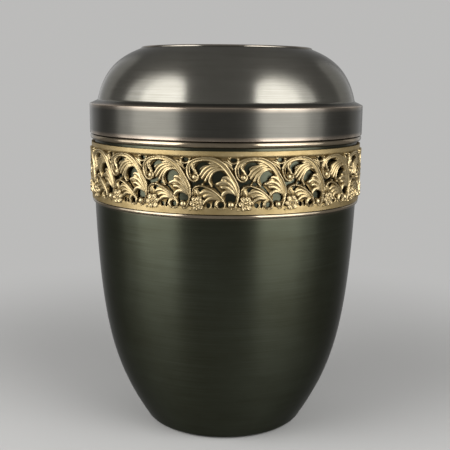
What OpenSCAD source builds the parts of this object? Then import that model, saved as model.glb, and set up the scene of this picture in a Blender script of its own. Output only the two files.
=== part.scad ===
// Cremation urn: a spun metal vase with a domed lift-off lid and a pierced ornamental band.
// Millimetres, +Z up. The origin is the centre of the underside, on the surface it stands on.

/* [Metal] */
// Thickness of the spun walls of the body and the lid
wall = 1.2; // [0.8:0.1:2]

/* [Body] */
// Radius of the flat underside
foot_r = 51; // [40:1:60]
// Radius of the round between the underside and the wall
foot_round = 6.5; // [4:0.5:9]
// Lean of the wall where it leaves the foot, in degrees from the surface it stands on
foot_lean = 58; // [50:1:66]
// How far the foot's lean pulls on the wall's curve
foot_pull = 43; // [30:1:50]
// Height of the wall's curve, up to the lower bead
shoulder_z = 157.5; // [130:0.5:190]
// Radius of the wall at the lower bead
shoulder_r = 91.3; // [80:0.1:110]
// Lean of the wall at the lower bead, in degrees from upright
shoulder_lean = 2.1; // [0:0.1:6]
// How far the shoulder's lean pulls on the wall's curve
shoulder_pull = 89.6; // [60:0.1:100]

/* [Beads and neck] */
// Height of the lower bead, on which the ornament band stands
low_bead_h = 3; // [2:0.1:4]
// How far the lower bead stands out from the band's seat
low_bead_out = 1.9; // [1.4:0.1:2.5]
// Depth of the band's seat below the wall at the shoulder
seat_depth = 0.2; // [0.1:0.1:0.8]
// Bare groove between the top of the band and the upper bead
groove_h = 1.6; // [0.5:0.1:4]
// Height of the upper bead, on which the lid rests
top_bead_h = 4.2; // [3:0.1:5]
// How far the upper bead stands out from the band's seat
top_bead_out = 2.7; // [2.2:0.1:3.2]
// Height of the neck that enters the lid
neck_h = 12; // [6:0.5:15]

/* [Lid] */
// Outside radius of the lid's skirt above that of the neck
skirt_out = 3; // [2.2:0.1:4]
// Height of the lid's skirt, up to the sloping ledge
skirt_h = 20; // [16:0.5:30]
// Radial clearance between the lid's hem and the neck
lid_fit = 0.4; // [0.2:0.05:0.8]
// Height of the hem that is rolled inwards at the skirt's lower edge
hem_h = 3; // [2:0.1:4]
// Round of the skirt's upper edge
ledge_round = 0.9; // [0.6:0.1:2]
// Width of the sloping ledge between the skirt and the dome
ledge_w = 5.5; // [3:0.1:12]
// Rise of the ledge from the skirt to the dome
ledge_rise = 2.2; // [1:0.1:6]
// Height of the dome above the ledge
dome_h = 35.6; // [26:0.1:44]
// Lean of the dome's foot from upright
dome_lean = 12.5; // [0:0.5:25]
// How far the dome follows that lean
dome_pull = 16; // [8:0.5:24]
// Slope of the dome where it meets the plateau
crown_lean = 20; // [5:1:35]
// How far the dome follows that slope
crown_pull = 20.7; // [10:0.1:30]
// Radius of the flat plateau on top of the dome
plateau_r = 57.6; // [30:0.1:65]
// Radius of the rolled rim around the plateau
rim_r = 1.1; // [0.8:0.1:1.3]

/* [Ornament band] */
// Height of the ornament band
band_h = 37.9; // [34:0.1:44]
// Radial clearance between the band and its seat
band_fit = 0.1; // [0.05:0.05:0.3]
// Thickness of the pierced sheet
sheet_t = 1.3; // [0.8:0.1:1.6]
// Thickness of the plain rails along both edges
rail_t = 2; // [1.4:0.1:2.4]
// Height of the upper plain rail
top_rail_h = 2.5; // [1.5:0.1:4]
// Height of the lower plain rail
low_rail_h = 3.7; // [2:0.1:4]
// Thickness of the band over the scrolls
scroll_t = 3.5; // [2.5:0.1:3.6]
// Number of leaf and flower motifs around the band
motifs = 20; // [16:1:24]
// Bearing of the first flower, in degrees
first_flower = 7.7; // [0:0.1:22]

/* [Scroll motif] */
// Radius of the leaf's long back
back_r = 20.6; // [18:0.1:21]
// Radius of the leaf's crown
crown_r = 10.2; // [9:0.1:11]
// Radius of the volute at the leaf's tip
volute_r = 2.3; // [2:0.1:2.6]
// Width of the raised ribs
rib_w = 1.5; // [1:0.1:2]
// Width of the raised edge of the half leaf
half_rib_w = 1.2; // [0.8:0.1:1.6]
// Radius of the balls in the volutes
ball_r = 1.8; // [1.7:0.1:2]
// Radius of the half leaf's edge
half_leaf_r = 14.9; // [12:0.1:16]
// Radius of a flower, from its centre to the middle of a petal
flower_r = 2.9; // [2:0.1:3.2]
// Radius of one petal
petal_r = 1.8; // [1:0.1:2]
// Number of petals
petals = 6; // [5:1:8]

/* [Hidden] */

turn_steps = 128;
curve_steps = 28;
bead_steps = 10;
round_steps = 6;

// Heights of the body's parts, from the bottom up.
band_z = shoulder_z + low_bead_h;
top_bead_z = band_z + band_h + groove_h;
lid_z = top_bead_z + top_bead_h;
neck_top_z = lid_z + neck_h;

// Radii of the band's seat and of what stands on it.
seat_r = shoulder_r - seat_depth;
neck_r = seat_r;
band_in_r = seat_r + band_fit;
rail_r = band_in_r + rail_t;
sheet_r = band_in_r + sheet_t;
scroll_r = band_in_r + scroll_t;

// Radii and heights of the lid.
skirt_r = neck_r + skirt_out;
hem_in_r = neck_r + lid_fit;
ledge_z = lid_z + skirt_h;
dome_r = skirt_r - ledge_w;
dome_z = ledge_z + ledge_rise;
plateau_z = dome_z + dome_h;

function polar(a) = [cos(a), sin(a)];

// Points of an arc about c, from angle a0 to a1.
function arc(c, r, a0, a1, steps) = [for (i = [0:steps]) c + r * polar(a0 + (a1 - a0) * i / steps)];

// A point of the cubic curve with the control points p, and its direction there.
function curve_at(p, t) =
    pow(1 - t, 3) * p[0] + 3 * pow(1 - t, 2) * t * p[1] + 3 * (1 - t) * pow(t, 2) * p[2] + pow(t, 3) * p[3];
function curve_dir(p, t) =
    pow(1 - t, 2) * (p[1] - p[0]) + 2 * (1 - t) * t * (p[2] - p[1]) + pow(t, 2) * (p[3] - p[2]);

// The curve moved towards the axis by d, without its first point, which ends the foot's round.
function curve_in(p, d) = [for (i = [1:curve_steps])
    let (t = i / curve_steps, v = curve_dir(p, t)) curve_at(p, t) + d * [-v[1], v[0]] / norm(v)];

function reverse(list) = [for (i = [len(list) - 1:-1:0]) list[i]];

// A half-round bead from the height z up, whose crown lies at crown_at.
function bead(z, h, crown_at) = arc([crown_at - h / 2, z + h / 2], h / 2, -90, 90, bead_steps);

// The body's wall leaves the foot's round along its tangent and meets the shoulder almost upright.
foot_start = [foot_r, foot_round] + foot_round * polar(foot_lean - 90);
body_curve = [
    foot_start,
    foot_start + foot_pull * polar(foot_lean),
    [shoulder_r, shoulder_z] - shoulder_pull * polar(90 - shoulder_lean),
    [shoulder_r, shoulder_z]
];

body_outside = concat(
    [[0, 0]],
    arc([foot_r, foot_round], foot_round, -90, foot_lean - 90, round_steps),
    curve_in(body_curve, 0),
    bead(shoulder_z, low_bead_h, seat_r + low_bead_out),
    [[seat_r, band_z], [seat_r, top_bead_z]],
    bead(top_bead_z, top_bead_h, seat_r + top_bead_out),
    [[neck_r, lid_z], [neck_r, neck_top_z]]
);
body_inside = concat(
    [[0, wall]],
    arc([foot_r, foot_round], foot_round - wall, -90, foot_lean - 90, round_steps),
    curve_in(body_curve, wall),
    [[seat_r - wall, band_z], [neck_r - wall, neck_top_z]]
);

module urn_body() {
    color([0.16, 0.15, 0.11])
        rotate_extrude($fn = turn_steps)
            polygon(concat(body_outside, reverse(body_inside)));
}

// The dome rises from the ledge and leans over to the rolled rim of the plateau.
dome_foot = [dome_r, dome_z];
dome_top = [plateau_r + rim_r, plateau_z - rim_r];
dome_curve = [
    dome_foot,
    dome_foot + dome_pull * polar(90 + dome_lean),
    dome_top + crown_pull * polar(-crown_lean),
    dome_top
];

// The inner side of the corner where the dome leaves the ledge, one wall away from both.
ledge_lean = atan2(ledge_rise, ledge_w);
ledge_in = polar(-90 - ledge_lean);
dome_in = polar(180 + dome_lean);
dome_foot_in = dome_foot + wall * (ledge_in + dome_in) / (1 + ledge_in * dome_in);

// The skirt's outer edge, rounded from upright to the ledge's slope.
function ledge_edge(r, z, radius) =
    arc([r - radius, z - radius], radius, 0, 90 - ledge_lean, round_steps);

lid_outside = concat(
    [[hem_in_r, lid_z], [skirt_r, lid_z]],
    ledge_edge(skirt_r, ledge_z, ledge_round),
    [dome_foot],
    curve_in(dome_curve, 0),
    arc([plateau_r, plateau_z - rim_r], rim_r, 180 / bead_steps, 180, bead_steps - 1),
    [[0, plateau_z - rim_r]]
);
lid_inside = concat(
    [[hem_in_r, lid_z + hem_h], [skirt_r - wall, lid_z + hem_h]],
    ledge_edge(skirt_r - wall, ledge_z - wall, ledge_round / 2),
    [dome_foot_in],
    curve_in(dome_curve, wall),
    [[0, plateau_z - rim_r - wall]]
);

module lid() {
    color([0.22, 0.21, 0.17])
        rotate_extrude($fn = turn_steps)
            polygon(concat(lid_outside, reverse(lid_inside)));
}

// The ornament is drawn flat: x runs along the band from a flower's centre, y up from its lower edge.
// It is drawn for a band of these sizes, and stretched to the one that is made.
drawn_sheet_r = 92.5;
drawn_motifs = 20;
drawn_band_h = 37.9;
stretch = [sheet_r / drawn_sheet_r * drawn_motifs / motifs, band_h / drawn_band_h];
motif_turn = 360 / motifs;
arc_step_angle = 26;
petal_steps = 3;
ball_sides = 8;

// How far a cutter or a blank passes the faces it meets, outwards and towards the axis: the round
// band falls back behind a flat drawing, most of all behind the leaf's back.
over = 1;
cutter_back = 4;
blank_back = 6;
// How deep raised work is rooted in the sheet.
root_depth = 0.3;
// How far each part of the motif stays below the leaf's ribs.
half_leaf_drop = 0.5;
flower_drop = 0.3;
ball_drop = 0.2;

flower_at = [0, 7];
back_at = [3.7, 12];
back_from = -27;
back_end = 85;
crown_at = back_at + (back_r - crown_r) * polar(back_end);
crown_end = 180;
volute_at = crown_at + (crown_r - volute_r) * polar(crown_end);
volute_end = 320;
half_leaf_at = [2.2, 2.2];
half_leaf_from = 4;
half_leaf_end = 100;
half_tip_r = 3.6;
half_tip_at = half_leaf_at + (half_leaf_r - half_tip_r) * polar(half_leaf_end);
half_tip_end = 185;
root_ball_at = [20.2, 6.3];

// The crescent openings: centre, radius, direction and angle of the bulge, radius of the other side.
crescents = [
    [[2.6, 26.2], 4.4, 100, 190, 5.6],
    [[13, 22.6], 4.8, 120, 200, 5.4],
    [[19.7, 10.4], 3, 90, 250, 2.9],
    [[2.4, 13.2], 2.2, 95, 190, 3.2],
    [[9.2, 6.6], 2.3, 30, 190, 2.9]
];
// The small openings: centre, radius, number of sides.
holes = [
    [[13.6, 5.9], 1.5, 8],
    [[1.9, 20], 1.5, 6],
    [[-7.3, 33.4], 1.5, 6]
];

// A flat shape with these points, stretched to the band.
module drawn(points) {
    polygon([for (p = points) [p[0] * stretch[0], p[1] * stretch[1]]]);
}

// A disc with straight sides, drawn likewise.
module drawn_disc(c, r, sides) {
    drawn([for (i = [0:sides - 1]) c + r * polar(360 * i / sides)]);
}

// The arc from angle a0 to a1 in steps of about arc_step_angle.
function open_arc(c, r, a0, a1) = arc(c, r, a0, a1, ceil(abs(a1 - a0) / arc_step_angle));

// The points along arcs that run into each other, each given as [centre, radius, from, to], with
// every radius changed by widen. An arc's first point is the last one's end, so it is left out.
function path_of(arcs, widen) = [for (k = [0:len(arcs) - 1])
    let (s = arcs[k], points = open_arc(s[0], s[1] + widen, s[2], s[3]))
    for (i = [min(k, 1):len(points) - 1]) points[i]];

// A rib of the width w along such arcs.
module rib(arcs, w) {
    drawn(concat(path_of(arcs, w / 2), reverse(path_of(arcs, -w / 2))));
}

// A crescent that bulges towards the angle mid: an arc of radius r about c that spans the angle
// span, closed by a flatter arc of radius back through the same ends.
module crescent(c, r, mid, span, back) {
    half_chord = r * sin(span / 2);
    back_c = c + (r * cos(span / 2) - sqrt(back * back - half_chord * half_chord)) * polar(mid);
    back_half = asin(half_chord / back);
    drawn(concat(
        open_arc(c, r, mid - span / 2, mid + span / 2),
        [for (i = [1:2]) back_c + back * polar(mid + back_half - i * back_half * 2 / 3)]
    ));
}

// The openings, through which the body shows.
module openings() {
    for (c = crescents) crescent(c[0], c[1], c[2], c[3], c[4]);
    for (h = holes) drawn_disc(h[0], h[1], h[2]);
}

// The leaf's back, crown and volute in one sweep, with its tip rolled into the volute's ball.
module leaf_rib() {
    rib([
        [back_at, back_r, back_from, back_end],
        [crown_at, crown_r, back_end, crown_end],
        [volute_at, volute_r, crown_end, volute_end]
    ], rib_w);
}

// The edge of the half leaf that lies below it.
module half_leaf_rib() {
    rib([
        [half_leaf_at, half_leaf_r, half_leaf_from, half_leaf_end],
        [half_tip_at, half_tip_r, half_leaf_end, half_tip_end]
    ], half_rib_w);
}

// A flower whose outline swells at each petal.
module flower() {
    drawn([for (i = [0:petals * petal_steps - 1])
        let (a = 90 + i * 360 / (petals * petal_steps))
        flower_at + (flower_r + petal_r * abs(cos(petals * (a - 90) / 2))) * polar(a)]);
}

// Stands a flat drawing up as a bar that runs outwards from the axis.
module stand_up(from_r, to_r) {
    translate([from_r, 0, 0]) rotate([90, 0, 90]) linear_extrude(to_r - from_r) children();
}

// A sector of a round sleeve between two radii and two heights of the band.
module sector(in_r, out_r, z0, z1, from_a, turn) {
    rotate([0, 0, from_a])
        rotate_extrude(angle = turn, $fn = turn_steps)
            translate([in_r, z0]) square([out_r - in_r, z1 - z0]);
}

// A flat drawing raised on the sheet to the radius top_r.
module raised(top_r) {
    root_r = sheet_r - root_depth;
    intersection() {
        sector(root_r, top_r, 0, band_h, -motif_turn, 2.2 * motif_turn);
        stand_up(root_r - blank_back, top_r + over) children();
    }
}

// The band's section: the pierced sheet between its two thicker rails.
band_section = [
    [band_in_r, 0],
    [rail_r, 0],
    [rail_r, low_rail_h],
    [sheet_r, low_rail_h],
    [sheet_r, band_h - top_rail_h],
    [rail_r, band_h - top_rail_h],
    [rail_r, band_h],
    [band_in_r, band_h]
];

module pierced_sheet() {
    difference() {
        rotate_extrude($fn = turn_steps) polygon(band_section);
        for (i = [0:motifs - 1])
            rotate([0, 0, first_flower + i * motif_turn])
                stand_up(band_in_r - cutter_back, rail_r + over) openings();
    }
}

// The raised work of one motif.
module carving() {
    raised(scroll_r) leaf_rib();
    raised(scroll_r - half_leaf_drop) half_leaf_rib();
    raised(scroll_r - flower_drop) flower();
    for (p = [root_ball_at, volute_at])
        raised(scroll_r - ball_drop) drawn_disc(p, ball_r, ball_sides);
}

module ornament_band() {
    color([0.72, 0.6, 0.34])
        translate([0, 0, band_z]) {
            pierced_sheet();
            for (i = [0:motifs - 1])
                rotate([0, 0, first_flower + i * motif_turn]) carving();
        }
}

urn_body();
ornament_band();
lid();
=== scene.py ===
# %% [markdown]
# # A spun-metal cremation urn
#
# The urn is three pieces: a body spun from sheet metal, a lid spun the same way that lifts off,
# and a band of pierced brass leaves between two beads of the body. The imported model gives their
# sizes. This lesson rebuilds the two spun pieces as smooth turned meshes, carves one
# leaf-and-flower motif as a fine relief, repeats it round the urn with Geometry Nodes, and gives
# each metal its finish.

# %% Load the frame
import bmesh
import bpy
import math
import numpy as np
from mathutils import Matrix, Vector


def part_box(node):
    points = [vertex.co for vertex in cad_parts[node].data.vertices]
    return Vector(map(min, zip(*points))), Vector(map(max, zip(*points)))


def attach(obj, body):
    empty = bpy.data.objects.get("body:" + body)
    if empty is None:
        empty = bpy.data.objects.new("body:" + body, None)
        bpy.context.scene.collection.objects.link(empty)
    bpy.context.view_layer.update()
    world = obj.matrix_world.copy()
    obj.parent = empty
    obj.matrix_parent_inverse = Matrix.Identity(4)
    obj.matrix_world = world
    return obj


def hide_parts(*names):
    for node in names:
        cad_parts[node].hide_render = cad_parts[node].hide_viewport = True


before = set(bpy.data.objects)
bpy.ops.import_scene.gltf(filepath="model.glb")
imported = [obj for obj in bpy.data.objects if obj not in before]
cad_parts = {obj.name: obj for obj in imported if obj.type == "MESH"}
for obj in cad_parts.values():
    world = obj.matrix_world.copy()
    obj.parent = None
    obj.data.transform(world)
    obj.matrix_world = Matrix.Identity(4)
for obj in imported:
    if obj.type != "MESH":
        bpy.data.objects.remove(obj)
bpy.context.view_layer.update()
scene = bpy.context.scene
MM = 0.001

# %% [markdown]
# ## Sizes
# Every place comes from the boxes of the CAD pieces: where the band stands, where the lid's hem
# rests, how wide the skirt is. The few sizes that a box can't show, such as the thickness of the
# sheet or the width of the ledge, are named here, in metres.

# %% Sizes taken from the frame
body_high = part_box("urn_body")[1]
band_low, band_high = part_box("ornament_band")
lid_low, lid_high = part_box("lid")

WALL = 1.2 * MM
band_z = band_low.z
band_top_z = band_high.z
lid_z = lid_low.z
neck_top_z = body_high.z
lid_top_z = lid_high.z

LOW_BEAD_H = 3.0 * MM
TOP_BEAD_H = 4.2 * MM
shoulder_z = band_z - LOW_BEAD_H
top_bead_z = lid_z - TOP_BEAD_H

top_bead_out = 2.7 * MM
LOW_BEAD_OUT = 1.9 * MM
seat_r = body_high.x - top_bead_out
skirt_r = lid_high.x
print("seat radius", round(seat_r, 4), "skirt radius", round(skirt_r, 4))
print("band from", round(band_z, 4), "to", round(band_top_z, 4))

# %% [markdown]
# ## Turned shapes
# A spun vessel is a flat disc pressed over a turning form, so its whole shape is one section
# swept round the axis. A Screw modifier could do it, but here the section is turned in code,
# because the material needs to know how far each point lies along the section: a brushed finish
# runs in rings, and a ring is a line of equal distance along the section. That distance goes into
# the UV map.

# %% Helpers for a section
def polar(angle):
    """The direction at an angle in degrees."""
    return np.array([math.cos(math.radians(angle)), math.sin(math.radians(angle))])


def arc(centre, radius, start, end, steps):
    """Points of an arc about centre, between two angles in degrees."""
    angles = [start + (end - start) * i / steps for i in range(steps + 1)]
    return [np.array(centre) + radius * polar(angle) for angle in angles]


def ease_curve(points, steps, inset=0.0):
    """A cubic curve between four control points, moved towards the axis by inset."""
    p = [np.array(q, float) for q in points]
    out = []
    for i in range(1, steps + 1):
        t = i / steps
        r = 1 - t
        at = r ** 3 * p[0] + 3 * r * r * t * p[1] + 3 * r * t * t * p[2] + t ** 3 * p[3]
        way = r * r * (p[1] - p[0]) + 2 * r * t * (p[2] - p[1]) + t * t * (p[3] - p[2])
        out.append(at + inset * np.array([-way[1], way[0]]) / np.linalg.norm(way))
    return out


def refined(section, longest):
    """The section with its long straight runs cut up."""
    out = [np.array(section[0], float)]
    for a, b in zip(section, section[1:]):
        a, b = np.array(a, float), np.array(b, float)
        parts = max(1, math.ceil(np.linalg.norm(b - a) / longest))
        out += [a + (b - a) * i / parts for i in range(1, parts + 1)]
    return out


# %% Turning a section into a mesh
TURNS = 256
LONGEST_STEP = 2.5 * MM
SPUN_SHARP_EDGE = 35
ON_AXIS = 1e-7


def turned(name, section):
    """A closed mesh from a section of (radius, height) points.

    The section starts and ends on the axis, or it is a loop that stays clear of it.
    """
    section = refined(section, LONGEST_STEP)
    runs = [np.linalg.norm(b - a) for a, b in zip(section, section[1:])]
    along = np.concatenate([[0.0], np.cumsum(runs)])
    spin = np.linspace(0, 2 * math.pi, TURNS, endpoint=False)
    verts, rows, faces, uvs = [], [], [], []
    for p in section:
        if p[0] < ON_AXIS:
            rows.append([len(verts)])
            verts.append((0.0, 0.0, p[1]))
        else:
            rows.append(list(range(len(verts), len(verts) + TURNS)))
            verts += [(p[0] * math.cos(a), p[0] * math.sin(a), p[1]) for a in spin]
    loop = section[0][0] > ON_AXIS
    count = len(rows) if loop else len(rows) - 1
    for k in range(count):
        low, high = rows[k], rows[(k + 1) % len(rows)]
        last = k + 1 == len(along)
        v0 = along[k]
        v1 = v0 + np.linalg.norm(section[0] - section[-1]) if last else along[k + 1]
        for i in range(TURNS):
            if len(low) == len(high) == 1:
                break
            j = (i + 1) % TURNS
            u0, u1 = i / TURNS, (i + 1) / TURNS
            if len(low) == 1:
                faces.append((low[0], high[j], high[i]))
                uvs += [(u0, v0), (u1, v1), (u0, v1)]
            elif len(high) == 1:
                faces.append((low[i], low[j], high[0]))
                uvs += [(u0, v0), (u1, v0), (u0, v1)]
            else:
                faces.append((low[i], low[j], high[j], high[i]))
                uvs += [(u0, v0), (u1, v0), (u1, v1), (u0, v1)]
    mesh = bpy.data.meshes.new(name)
    mesh.from_pydata(verts, [], faces)
    layer = mesh.uv_layers.new(name="Rings")
    layer.data.foreach_set("uv", np.array(uvs, np.float32).ravel())
    mesh.polygons.foreach_set("use_smooth", [True] * len(mesh.polygons))
    mesh.set_sharp_from_angle(angle=math.radians(SPUN_SHARP_EDGE))
    piece = bpy.data.objects.new(name, mesh)
    scene.collection.objects.link(piece)
    print(name, len(verts), "points,", len(faces), "faces")
    return piece


# %% [markdown]
# ## The body
# The section runs up the outside from the middle of the underside and comes back down the inside,
# so the urn is truly hollow, with a wall of one thickness. The belly is one cubic curve that
# leaves the foot at 58 degrees and meets the lower bead almost upright.

# %% Body section
FOOT_R = 51 * MM
FOOT_ROUND = 6.5 * MM
FOOT_LEAN = 58
FOOT_PULL = 43 * MM
SHOULDER_LEAN = 2.1
SHOULDER_PULL = 89.6 * MM
SEAT_DEPTH = 0.2 * MM
shoulder_r = seat_r + SEAT_DEPTH

foot_at = np.array([FOOT_R, FOOT_ROUND])
foot_start = foot_at + FOOT_ROUND * polar(FOOT_LEAN - 90)
belly = [
    foot_start,
    foot_start + FOOT_PULL * polar(FOOT_LEAN),
    np.array([shoulder_r, shoulder_z]) - SHOULDER_PULL * polar(90 - SHOULDER_LEAN),
    np.array([shoulder_r, shoulder_z]),
]


def bead(z, height, crown_r):
    """A half-round bead of the wall, from the height z up."""
    half = height / 2
    return arc((crown_r - half, z + half), half, -90, 90, steps=20)


# %% Body mesh
LIP = 0.35 * MM
outside = [(0, 0), (FOOT_R / 2, 0)]
outside += arc(foot_at, FOOT_ROUND, -90, FOOT_LEAN - 90, steps=14)
outside += ease_curve(belly, steps=90)
outside += bead(shoulder_z, LOW_BEAD_H, seat_r + LOW_BEAD_OUT)
outside += [(seat_r, band_z), (seat_r, top_bead_z)]
outside += bead(top_bead_z, TOP_BEAD_H, seat_r + top_bead_out)
outside += [(seat_r, lid_z)]
outside += arc((seat_r - LIP, neck_top_z - LIP), LIP, 0, 90, steps=4)
inside = arc((seat_r - WALL + LIP, neck_top_z - LIP), LIP, 90, 180, steps=4)
inside += [(seat_r - WALL, band_z)]
inside += ease_curve(belly, steps=60, inset=WALL)[::-1]
inside += arc(foot_at, FOOT_ROUND - WALL, FOOT_LEAN - 90, -90, steps=10)
inside += [(FOOT_R / 2, WALL), (0, WALL)]
urn_body = turned("spun_body", outside + inside)

# %% [markdown]
# ## The lid
# The lid is a cap: a hem that grips the neck, an upright skirt, a sloping ledge, then a dome
# whose section is one cubic curve, up to a flat plateau with a rolled rim. It has no hinge, so it
# stays a piece of its own that rests on the upper bead.

# %% Lid section
HEM_H = 3 * MM
LID_FIT = 0.4 * MM
SKIRT_H = 20 * MM
LEDGE_W = 5.5 * MM
LEDGE_RISE = 2.2 * MM
LEDGE_ROUND = 0.9 * MM
DOME_FOOT_ROUND = 0.9 * MM
DOME_LEAN = 12.5
DOME_PULL = 16 * MM
CROWN_LEAN = 20
CROWN_PULL = 20.7 * MM
PLATEAU_R = 57.6 * MM
RIM_R = 1.1 * MM
RIM_START = 15
EDGE = 0.4 * MM

ledge_z = lid_z + SKIRT_H
dome_z = ledge_z + LEDGE_RISE
dome_r = skirt_r - LEDGE_W
hem_r = seat_r + LID_FIT
ledge_lean = math.degrees(math.atan2(LEDGE_RISE, LEDGE_W))


def fillet(a, corner, b, radius, steps=6):
    """A small round at a corner of the section, between the directions of its two neighbours."""
    a, corner, b = (np.array(p, float) for p in (a, corner, b))
    da = (a - corner) / np.linalg.norm(a - corner)
    db = (b - corner) / np.linalg.norm(b - corner)
    start, end = corner + da * radius, corner + db * radius
    ts = [i / steps for i in range(steps + 1)]
    return [(1 - t) ** 2 * start + 2 * (1 - t) * t * corner + t * t * end for t in ts]


# %% Lid mesh
rim_z = lid_top_z - RIM_R
dome_foot = np.array([dome_r, dome_z])
dome_top = np.array([PLATEAU_R + RIM_R, rim_z])
dome_curve = [
    dome_foot,
    dome_foot + DOME_PULL * polar(90 + DOME_LEAN),
    dome_top + CROWN_PULL * polar(-CROWN_LEAN),
    dome_top,
]
ledge_in, dome_in = polar(-90 - ledge_lean), polar(180 + DOME_LEAN)
dome_foot_in = dome_foot + WALL * (ledge_in + dome_in) / (1 + ledge_in @ dome_in)

round_in_r = skirt_r - LEDGE_ROUND
round_top = (round_in_r, ledge_z - LEDGE_ROUND)
ledge_edge = arc(round_top, LEDGE_ROUND, 0, 90 - ledge_lean, steps=10)
dome_points = ease_curve(dome_curve, steps=70)
foot_of_dome = fillet(ledge_edge[-1], dome_foot, dome_points[1], DOME_FOOT_ROUND)
outer = [(hem_r + EDGE, lid_z)]
outer += arc((skirt_r - EDGE, lid_z + EDGE), EDGE, -90, 0, steps=5)
outer += ledge_edge + foot_of_dome + dome_points[1:]
outer += arc((PLATEAU_R, rim_z), RIM_R, RIM_START, 180, steps=14)
outer += [(PLATEAU_R - RIM_R - EDGE, rim_z), (PLATEAU_R / 2, rim_z), (0, rim_z)]
under = [(0, rim_z - WALL), (PLATEAU_R / 2, rim_z - WALL)]
under += ease_curve(dome_curve, steps=40, inset=WALL)[::-1] + [dome_foot_in]
inner_round = LEDGE_ROUND / 2
round_under = (round_in_r, ledge_z - WALL - inner_round)
under += arc(round_under, inner_round, 90 - ledge_lean, 0, steps=6)
under += [(skirt_r - WALL, lid_z + HEM_H), (hem_r + EDGE, lid_z + HEM_H)]
under += [(hem_r, lid_z + HEM_H - EDGE), (hem_r, lid_z + EDGE)]
urn_lid = turned("spun_lid", outer + under)

# %% [markdown]
# ## One leaf motif, carved
# The band is a pierced brass strip with raised leaves. A sculptor builds such a leaf from
# strokes: a rolled rim that runs from a curled tip over the crown and down the back, then fans of
# lobes inside it, then beads, a flower and the holes between them. The same is done here. A ridge
# is a smooth path with a width and a height, and the relief at a point is the highest ridge that
# covers it. Places are in millimetres: u along the band from a flower's middle, v up from its
# lower edge.

# %% Strokes
MOTIFS = 20
SHEET_T = 1.3
HALF_ROUND = 0.5
LOBE_ROUND = 0.6
ridges = []
holes = []


def smooth_path(points, steps=6, closed=False):
    """A Catmull-Rom curve through the points."""
    p = np.array(points, float)
    if closed:
        p = np.vstack([p[-1], p, p[0], p[1]])
    else:
        p = np.vstack([2 * p[0] - p[1], p, 2 * p[-1] - p[-2]])
    out = []
    for a, b, c, d in zip(p, p[1:], p[2:], p[3:]):
        for i in range(steps):
            t = i / steps
            bend = (2 * a - 5 * b + 4 * c - d) * t ** 2 + (3 * b - a - 3 * c + d) * t ** 3
            out.append(0.5 * (2 * b + (c - a) * t + bend))
    return np.array(out if closed else out + [p[-2]])


def ridge(points, width, height, ends=(0.4, 0.4), profile=HALF_ROUND):
    """Adds a rounded ridge; ends says how much of its width and height its two ends keep."""
    ridges.append((smooth_path(points), width / 2, height, ends, profile))


def dome_at(centre, radius, height):
    """Adds a round ball: a ridge on a path of a hundredth of a millimetre."""
    path = np.array([centre, np.array(centre) + (0.01, 0)])
    ridges.append((path, radius, height, (1, 1), HALF_ROUND))


def ring_at(centre, radius, width, height, start=0, end=360):
    """Adds a raised ring or a part of one."""
    steps = 24
    turn = [math.radians(start + (end - start) * i / steps) for i in range(steps + 1)]
    path = [(centre[0] + radius * math.cos(a), centre[1] + radius * math.sin(a)) for a in turn]
    ridge(path, width, height, (0.8, 0.8))


def hole(points):
    """Adds an opening inside a smooth closed line."""
    holes.append(smooth_path(points, 6, True))


# %% The leaf's rolled rim, from its curled tip to its root
leaf_edge = [
    (-1.3, 24.7), (0.0, 24.0), (0.5, 22.5), (-0.1, 20.9), (-1.6, 20.0), (-3.5, 20.3), (-5.4, 22.1),
    (-6.4, 24.7), (-6.6, 27.4), (-5.8, 29.9), (-4.2, 31.8), (-1.9, 33.0), (0.6, 33.7), (4.2, 34.1),
    (8.2, 34.1), (12.0, 33.0), (15.6, 30.9), (18.3, 28.0), (20.0, 25.4), (21.6, 22.9),
    (22.9, 20.8), (23.9, 18.6), (24.7, 16.5), (25.1, 14.0), (24.9, 11.3), (24.4, 8.7), (23.5, 6.2),
    (22.4, 4.2), (20.6, 3.6),
]
ridge(leaf_edge, 1.35, 3.2, (0.8, 0.7))
crown = [
    (-3.9, 22.4), (-4.7, 23.7), (-5.0, 25.4), (-4.9, 27.6), (-4.1, 29.5), (-2.4, 31.1),
    (0.4, 32.2), (3.6, 32.7), (7.2, 32.5), (10.6, 31.3), (13.6, 29.4), (16.2, 26.9), (18.3, 24.2),
    (20.2, 21.4), (21.9, 18.6), (23.0, 16.0), (23.7, 13.2), (23.9, 10.6),
]
ridge(crown, 1.3, 2.9, (0.5, 0.5))
ridge([
    (-5.8, 27.5), (-4.8, 30.2), (-1.6, 32.2), (4, 33.4), (8, 33.3), (13.4, 31.2), (18, 26.5),
    (21.8, 20.8), (24.2, 14), (24.2, 9),
], 2.8, 2.5, (0.6, 0.5))

# %% Broad flesh of the leaves, on which the lobes lie
for path, width in [
    ([(15.5, 28.5), (12.0, 29.0), (8.5, 27.6), (5.2, 25.0)], 6.5),
    ([(23.0, 12.5), (21.6, 16.5), (18.6, 18.6), (15.2, 18.4)], 6.0),
    ([(14.6, 9.6), (11.0, 11.6), (7.2, 12.6), (3.4, 13.2), (-0.6, 13.6)], 6.0),
]:
    ridge(path, width, 2.2, (0.5, 0.9))

# %% The curled tip: a dished ball inside the rim's last turn
dome_at((-1.8, 22.3), 1.9, 2.9)

# %% Hook lobe between the slit and the first eye
ridge([
    (-0.8, 31.4), (-2.4, 30.4), (-3.2, 28.8), (-2.8, 27.2), (-1.7, 25.9), (-0.8, 25.2),
], 1.5, 2.9, (0.4, 0.9))
ridge([(1.2, 31.9), (-1.0, 30.9), (-2.1, 29.4), (-1.9, 27.6), (-1.0, 26.2)], 0.8, 2.7, (0.4, 0.7))

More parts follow.
